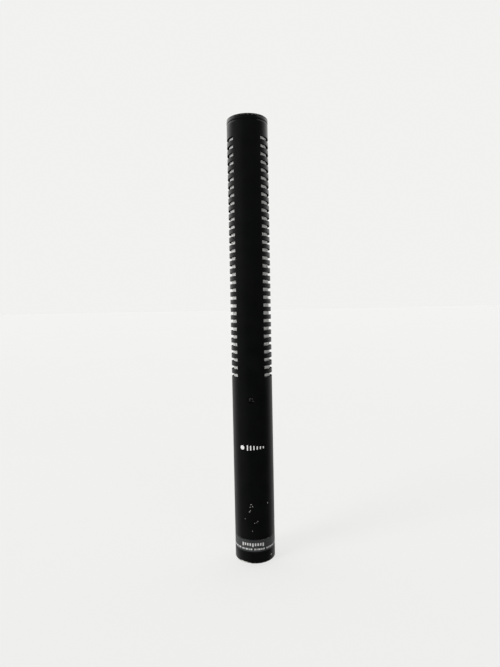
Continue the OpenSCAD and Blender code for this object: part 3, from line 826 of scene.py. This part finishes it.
def make_front_mesh():
    """Crossed wires, each over one and under the next, pressed into a slight dome."""
    rim = GRILLE_HIGH.x - WEAVE_WIRE_R
    base = (GRILLE_LOW.z + GRILLE_HIGH.z) / 2
    verts, faces = [], []
    half_count = int(rim / WEAVE_PITCH)
    for direction in (0, 1):
        for i in range(-half_count, half_count + 1):
            offset = i * WEAVE_PITCH
            reach = math.sqrt(rim ** 2 - offset ** 2)
            steps = max(4, round(2 * reach / WEAVE_PITCH * WEAVE_STEPS))
            start = len(verts)
            for k in range(steps + 1):
                along = -reach + 2 * reach * k / steps
                wave = math.cos(math.pi * (along / WEAVE_PITCH + i + direction))
                dome = WEAVE_DOME * (1 - (along ** 2 + offset ** 2) / rim ** 2)
                middle = base + wave * WEAVE_WIRE_R * 0.55 + dome
                for side in range(WEAVE_SIDES):
                    turn = 2 * math.pi * side / WEAVE_SIDES
                    across = offset + WEAVE_WIRE_R * math.cos(turn)
                    height = middle + WEAVE_WIRE_R * math.sin(turn)
                    place = (along, across) if direction else (across, along)
                    verts.append((*place, height))
            for k in range(steps):
                for side in range(WEAVE_SIDES):
                    n = (side + 1) % WEAVE_SIDES
                    a, b = start + k * WEAVE_SIDES, start + (k + 1) * WEAVE_SIDES
                    faces.append([a + side, a + n, b + n, b + side])
            faces.append([start + side for side in range(WEAVE_SIDES)])
            end = start + steps * WEAVE_SIDES
            faces.append([end + side for side in range(WEAVE_SIDES)])
    mesh = make_object("front_mesh", verts, faces, [GRILLE_WIRE], sharp_deg=70)
    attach(mesh, "housing")
    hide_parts("front_grille")


def make_screen():
    inner = SCREEN_R - SCREEN_WALL
    low, high = SCREEN_LOW.z, SCREEN_HIGH.z
    screen = lathe("woven_screen", rounded([
        (SCREEN_R, low, 0.1), (SCREEN_R, high, 0.1), (inner, high, 0.1), (inner, low, 0.1),
    ]), SCREEN, 160)
    weighted_normals(screen)
    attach(screen, "housing")
    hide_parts("acoustic_screen")


# ---------- printed marks ----------

INK_IN = R - 0.05
INK_OUT = R + INK
MARK_Z = 62.05
DOT_S, DOT_R, DOT_STEPS = -5.5, 1.15, 24
MARK_BARS, MARK_BAR_W, MARK_GAP, MARK_BAR_S = 6, 0.62, 1.1, -2.9
MARK_HALF, MARK_FALL = 1.4, 0.17  # half height of the first bar, and the step down to the next


def make_front_mark():
    """A plain white pictogram: a dot, and a falling row of bars."""
    verts, faces = [], []
    turns = [math.pi * k / DOT_STEPS for k in range(DOT_STEPS + 1)]
    ribbon(verts, faces,
           [(DOT_S - DOT_R * math.cos(t), MARK_Z - DOT_R * math.sin(t)) for t in turns],
           [(DOT_S - DOT_R * math.cos(t), MARK_Z + DOT_R * math.sin(t)) for t in turns],
           INK_IN, INK_OUT)
    for i in range(MARK_BARS):
        start = MARK_BAR_S + i * (MARK_BAR_W + MARK_GAP)
        half = MARK_HALF - MARK_FALL * i
        ribbon(verts, faces, *bar_rows(start, start + MARK_BAR_W, MARK_Z - half, MARK_Z + half),
               INK_IN, INK_OUT)
    mark = make_object("front_mark", verts, faces, [MARK_INK], sharp_deg=40)
    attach(mark, "housing")


TICKS, TICK_W, TICK_PITCH, TICK_SHIFT = 9, 0.78, 1.4, 0.7
TICK_LOW, TICK_LOW_LONG, TICK_HIGH = 9.7, 9.2, 11.1  # every fourth tick is a long one
DASHES, DASH_SPACE, GROUP_SPACE = (0.8, 0.45, 1.2, 0.6, 1.0), 0.42, 0.6
DASH_LOW, DASH_HIGH = 7.4, 8.25


def make_band():
    """The grey band, with two rows of plain printed marks."""
    band = lathe("printed_band", rounded([
        (BAND_R0, BAND_Z0, 0.05), (R, BAND_Z0, 0.07), (R, BAND_Z1, 0.07), (BAND_R0, BAND_Z1, 0.05),
    ]), BAND_GREY, 128)
    weighted_normals(band)
    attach(band, "tail")
    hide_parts("label_band")

    verts, faces = [], []
    # Upper row: a short plain graduation on the front.
    for i in range(TICKS):
        s = (i - (TICKS - 1) / 2) * TICK_PITCH - TICK_W / 2 - TICK_SHIFT
        low = TICK_LOW_LONG if i % 4 == 0 else TICK_LOW
        ribbon(verts, faces, *bar_rows(s, s + TICK_W, low, TICK_HIGH), INK_IN, INK_OUT)
    # Lower row: a fine broken line right round, in groups.
    group = sum(DASHES) + DASH_SPACE * len(DASHES) + GROUP_SPACE
    count = int(2 * math.pi * R / group)
    for k in range(count):
        s = (k - count / 2) * 2 * math.pi * R / count
        for dash in DASHES:
            ribbon(verts, faces, *bar_rows(s, s + dash, DASH_LOW, DASH_HIGH), INK_IN, INK_OUT)
            s += dash + DASH_SPACE
    marks = make_object("band_marks", verts, faces, [BAND_INK], sharp_deg=40)
    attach(marks, "tail")


# ---------- tail shell ----------

STEP_Z, STEP_R = 21.2, 8.6
SPIGOT_R = BORE_R - RUN
SEAL_Z, SEAL_HALF = 14.5, 0.47
SEAL_GROOVE_R = SPIGOT_R - 0.89
THREAD_Z, THREAD_PITCH, THREAD_TURNS, THREAD_DEPTH = 19.3, 0.7, 6, 0.3
CLIP_Z0, CLIP_Z1, CLIP_R = 23.26, 24.14, 8.94
LOCK_Z, LOCK_R, LOCK_FROM, LOCK_TO = 17.7, 1.25, 6.6, 12
KEYWAY_HALF, KEYWAY_DEPTH = 1.1, 0.8
LATCH_HALF, LATCH_DEPTH, LATCH_Z0, LATCH_Z1 = 2.6, 0.9, 5.4, 8


def make_tail_shell():
    corners = [
        (SOCKET_R, 0.5, 0.1), (SOCKET_R + 0.5, 0.0, 0.1), (R - 0.35, 0.0, 0.1), (R, 0.35, 0.15),
        (R, BAND_Z0, 0.06), (BAND_R0 - 0.02, BAND_Z0, 0), (BAND_R0 - 0.02, TUBE_Z0, 0.05),
        (SPIGOT_R, TUBE_Z0, 0), (SPIGOT_R, SEAL_Z - SEAL_HALF, 0.05),
        (SEAL_GROOVE_R, SEAL_Z - SEAL_HALF, 0.05), (SEAL_GROOVE_R, SEAL_Z + SEAL_HALF, 0.05),
        (SPIGOT_R, SEAL_Z + SEAL_HALF, 0.05),
    ]
    for i in range(THREAD_TURNS):
        z = THREAD_Z + i * THREAD_PITCH
        corners += [(SPIGOT_R, z + 0.09, 0.03), (SPIGOT_R - THREAD_DEPTH, z + 0.35, 0.04),
                    (SPIGOT_R, z + 0.61, 0.03)]
    corners += [
        (SPIGOT_R, SHELL_HIGH.z - 0.4, 0.08), (SPIGOT_R - 0.4, SHELL_HIGH.z, 0.08),
        (STEP_R, SHELL_HIGH.z, 0.08), (STEP_R, CLIP_Z1, 0), (CLIP_R, CLIP_Z1, 0),
        (CLIP_R, CLIP_Z0, 0), (STEP_R, CLIP_Z0, 0), (STEP_R, STEP_Z, 0), (SOCKET_R, STEP_Z, 0.05),
    ]
    shell = lathe("connector_shell", rounded(corners, 3), RING_PAINT, 128)
    keyway = block("keyway", (-KEYWAY_HALF, 0, -1),
                   (KEYWAY_HALF, SOCKET_R + KEYWAY_DEPTH, SOCKET_Z))
    latch = block("latch_pocket", (-LATCH_HALF, 0, LATCH_Z0),
                  (LATCH_HALF, SOCKET_R + LATCH_DEPTH, LATCH_Z1))
    lock = lathe("lock_hole", [
        (0, LOCK_FROM), (LOCK_R, LOCK_FROM), (LOCK_R, LOCK_TO), (0, LOCK_TO),
    ], RING_PAINT, 32, closed=False)
    turn_to_radius(lock, 180, LOCK_Z)
    carve(shell, [keyway, latch, lock])
    shell.data.set_sharp_from_angle(angle=math.radians(SHARP_ANGLE))
    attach(shell, "tail")
    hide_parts("tail_shell")


# ---------- capsule screw ----------

RECESS_LONG, RECESS_WIDE, RECESS_DEPTH = 0.98, 0.2, 0.6  # half length and half width of each arm
RECESS_TURN = 28


def make_capsule_screw():
    """A small pan-headed screw with a crossed recess, set just under the tube's surface."""
    top = -SCREW_LOW.y
    tip = -SCREW_HIGH.y
    outline = [
        (0, tip, 0), (0.6, tip, 0.05), (0.95, tip + 0.3, 0.05), (0.95, top - 1.0, 0.02),
        (1.5, top - 1.0, 0.05), (1.5, top - 0.2, 0.2), (0.75, top, 0.3), (0, top, 0),
    ]
    screw = lathe("cross_screw", rounded(outline), SCREW_STEEL, 48, closed=False)
    cutters = []
    for x, y in ((RECESS_LONG, RECESS_WIDE), (RECESS_WIDE, RECESS_LONG)):
        cutters.append(block("recess", (-x, -y, top - RECESS_DEPTH), (x, y, top + 1)))
    carve(screw, cutters)
    screw.data.transform(Matrix.Rotation(math.radians(RECESS_TURN), 4, "Z"))
    turn_to_radius(screw, 0, SCREW_Z)
    screw.data.set_sharp_from_angle(angle=math.radians(SHARP_ANGLE))
    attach(screw, "capsule_screw")
    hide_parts("capsule_screw")


# ---------- stage, camera and light ----------

VIEW_TURN = math.radians(4.14)
CAMERA_SIDE = -5.09
CAMERA_BACK = 258.2
CAMERA_HEIGHT = 134.8
CAMERA_PITCH = math.radians(2.97)
CAMERA_YAW = math.radians(0.99)
CAMERA_ROLL = math.radians(-1.13)
SENSOR = 36.0
LENS = 25.96102
FLOOR_HALF = 60000
FLOOR_GLOW = 0.695
# The room that glossy surfaces reflect: its level all round, and what is added behind and at left.
ROOM_DARK = 0.15
ROOM_BACK = 1.5
ROOM_LEFT = 0.33
# How it dims near the floor and overhead: from one height to another, from one factor to another.
ROOM_DIMMING = ((-0.14, 0.3, 0.4, 1), (0.6, 0.88, 1, 0.06))


def make_camera():
    forward = Vector((math.sin(CAMERA_YAW) * math.cos(CAMERA_PITCH),
                      math.cos(CAMERA_YAW) * math.cos(CAMERA_PITCH), -math.sin(CAMERA_PITCH)))
    right = Vector((math.cos(CAMERA_YAW), -math.sin(CAMERA_YAW), 0))
    up = right.cross(forward)
    rolled_right = right * math.cos(CAMERA_ROLL) + up * math.sin(CAMERA_ROLL)
    rolled_up = up * math.cos(CAMERA_ROLL) - right * math.sin(CAMERA_ROLL)
    turn = Matrix((rolled_right, rolled_up, -forward)).transposed().to_4x4()
    place = Matrix.Translation(Vector((CAMERA_SIDE, -CAMERA_BACK, CAMERA_HEIGHT)) * MM)
    data = bpy.data.cameras.new("camera")
    data.sensor_width = SENSOR
    data.lens = LENS
    data.clip_start = 0.005
    data.clip_end = 50
    camera = bpy.data.objects.new("camera", data)
    camera.matrix_world = Matrix.Rotation(VIEW_TURN, 4, "Z") @ place @ turn
    bpy.context.scene.collection.objects.link(camera)
    bpy.context.scene.camera = camera


def make_floor():
    g = Graph("floor_paper", (0.25, 0.25, 0.246), 0.95, Specular_IOR_Level=0.05,
              Emission_Color=(1.0, 1.0, 0.985, 1), Emission_Strength=FLOOR_GLOW)
    soft = g.noise(5.0, 3)
    g.color(g.blend(g.span(soft, 0.35, 0.65), (0.247, 0.247, 0.243), (0.253, 0.253, 0.249)))
    corners = [(x * FLOOR_HALF, y * FLOOR_HALF, 0) for x, y in ((-1, -1), (1, -1), (1, 1), (-1, 1))]
    floor = make_object("floor", corners, [(0, 1, 2, 3)], [g.material])
    floor.visible_glossy = False


def add_lamp(name, angle_deg, elevation_deg, strength, spread_deg):
    """A far, wide, soft lamp. Its angle counts from the camera's side, towards the right."""
    a, e = math.radians(angle_deg) + VIEW_TURN, math.radians(elevation_deg)
    out = Vector((math.sin(a) * math.cos(e), -math.cos(a) * math.cos(e), math.sin(e)))
    data = bpy.data.lights.new(name, "SUN")
    data.energy = strength
    data.angle = math.radians(spread_deg)
    lamp = bpy.data.objects.new(name, data)
    lamp.rotation_euler = (-out).to_track_quat("-Z", "Y").to_euler()
    lamp.visible_glossy = False
    bpy.context.scene.collection.objects.link(lamp)


def room_glow(tree, direction, angle_deg, start, full, strength):
    """Light from one side of the room, faded in between two cosines of the angle away from it."""
    a = math.radians(angle_deg) + VIEW_TURN
    side = tree.nodes.new("ShaderNodeVectorMath")
    side.operation = "DOT_PRODUCT"
    side.inputs[1].default_value = (math.sin(a), -math.cos(a), 0)
    tree.links.new(direction, side.inputs[0])
    fade = tree.nodes.new("ShaderNodeMapRange")
    fade.interpolation_type = "SMOOTHSTEP"
    set_range(fade, start, full, 0, strength)
    tree.links.new(side.outputs["Value"], fade.inputs["Value"])
    return fade.outputs[0]


def make_light():
    add_lamp("key_lamp", -61, 20, 1.55, 26)
    add_lamp("fill_lamp", 25, 40, 0.2, 26)
    world = bpy.data.worlds.new("studio")
    world.use_nodes = True
    bpy.context.scene.world = world
    tree = world.node_tree
    seen = tree.nodes["Background"]
    seen.inputs["Color"].default_value = (0.885, 0.885, 0.87, 1)
    way = tree.nodes.new("ShaderNodeTexCoord").outputs["Generated"]
    level_way = tree.nodes.new("ShaderNodeVectorMath")
    level_way.operation = "MULTIPLY"
    level_way.inputs[1].default_value = (1, 1, 0)
    tree.links.new(way, level_way.inputs[0])
    bearing = tree.nodes.new("ShaderNodeVectorMath")
    bearing.operation = "NORMALIZE"
    tree.links.new(level_way.outputs[0], bearing.inputs[0])
    bearing = bearing.outputs[0]
    level = ROOM_DARK
    for glow in (room_glow(tree, bearing, 180, -0.15, 0.75, ROOM_BACK),
                 room_glow(tree, bearing, -85, 0.42, 1, ROOM_LEFT)):
        add = tree.nodes.new("ShaderNodeMath")
        if isinstance(level, float):
            add.inputs[0].default_value = level
        else:
            tree.links.new(level, add.inputs[0])
        tree.links.new(glow, add.inputs[1])
        level = add.outputs[0]
    height = tree.nodes.new("ShaderNodeSeparateXYZ")
    tree.links.new(way, height.inputs[0])
    for ramp in ROOM_DIMMING:
        factor = tree.nodes.new("ShaderNodeMapRange")
        set_range(factor, *ramp)
        tree.links.new(height.outputs[2], factor.inputs["Value"])
        product = tree.nodes.new("ShaderNodeMath")
        product.operation = "MULTIPLY"
        tree.links.new(level, product.inputs[0])
        tree.links.new(factor.outputs[0], product.inputs[1])
        level = product.outputs[0]
    room = tree.nodes.new("ShaderNodeBackground")
    room.inputs["Color"].default_value = (1.0, 1.0, 0.99, 1)
    tree.links.new(level, room.inputs["Strength"])
    choice = tree.nodes.new("ShaderNodeMixShader")
    path = tree.nodes.new("ShaderNodeLightPath")
    tree.links.new(path.outputs["Is Camera Ray"], choice.inputs[0])
    tree.links.new(room.outputs[0], choice.inputs[1])
    tree.links.new(seen.outputs[0], choice.inputs[2])
    tree.links.new(choice.outputs[0], tree.nodes["World Output"].inputs[0])
    view = bpy.context.scene.view_settings
    view.view_transform = "Standard"
    view.look = "None"


finish_cad_nodes()
make_tube()
make_cap()
make_front_mesh()
make_screen()
make_front_mark()
make_band()
make_tail_shell()
make_capsule_screw()
make_floor()
make_camera()
make_light()
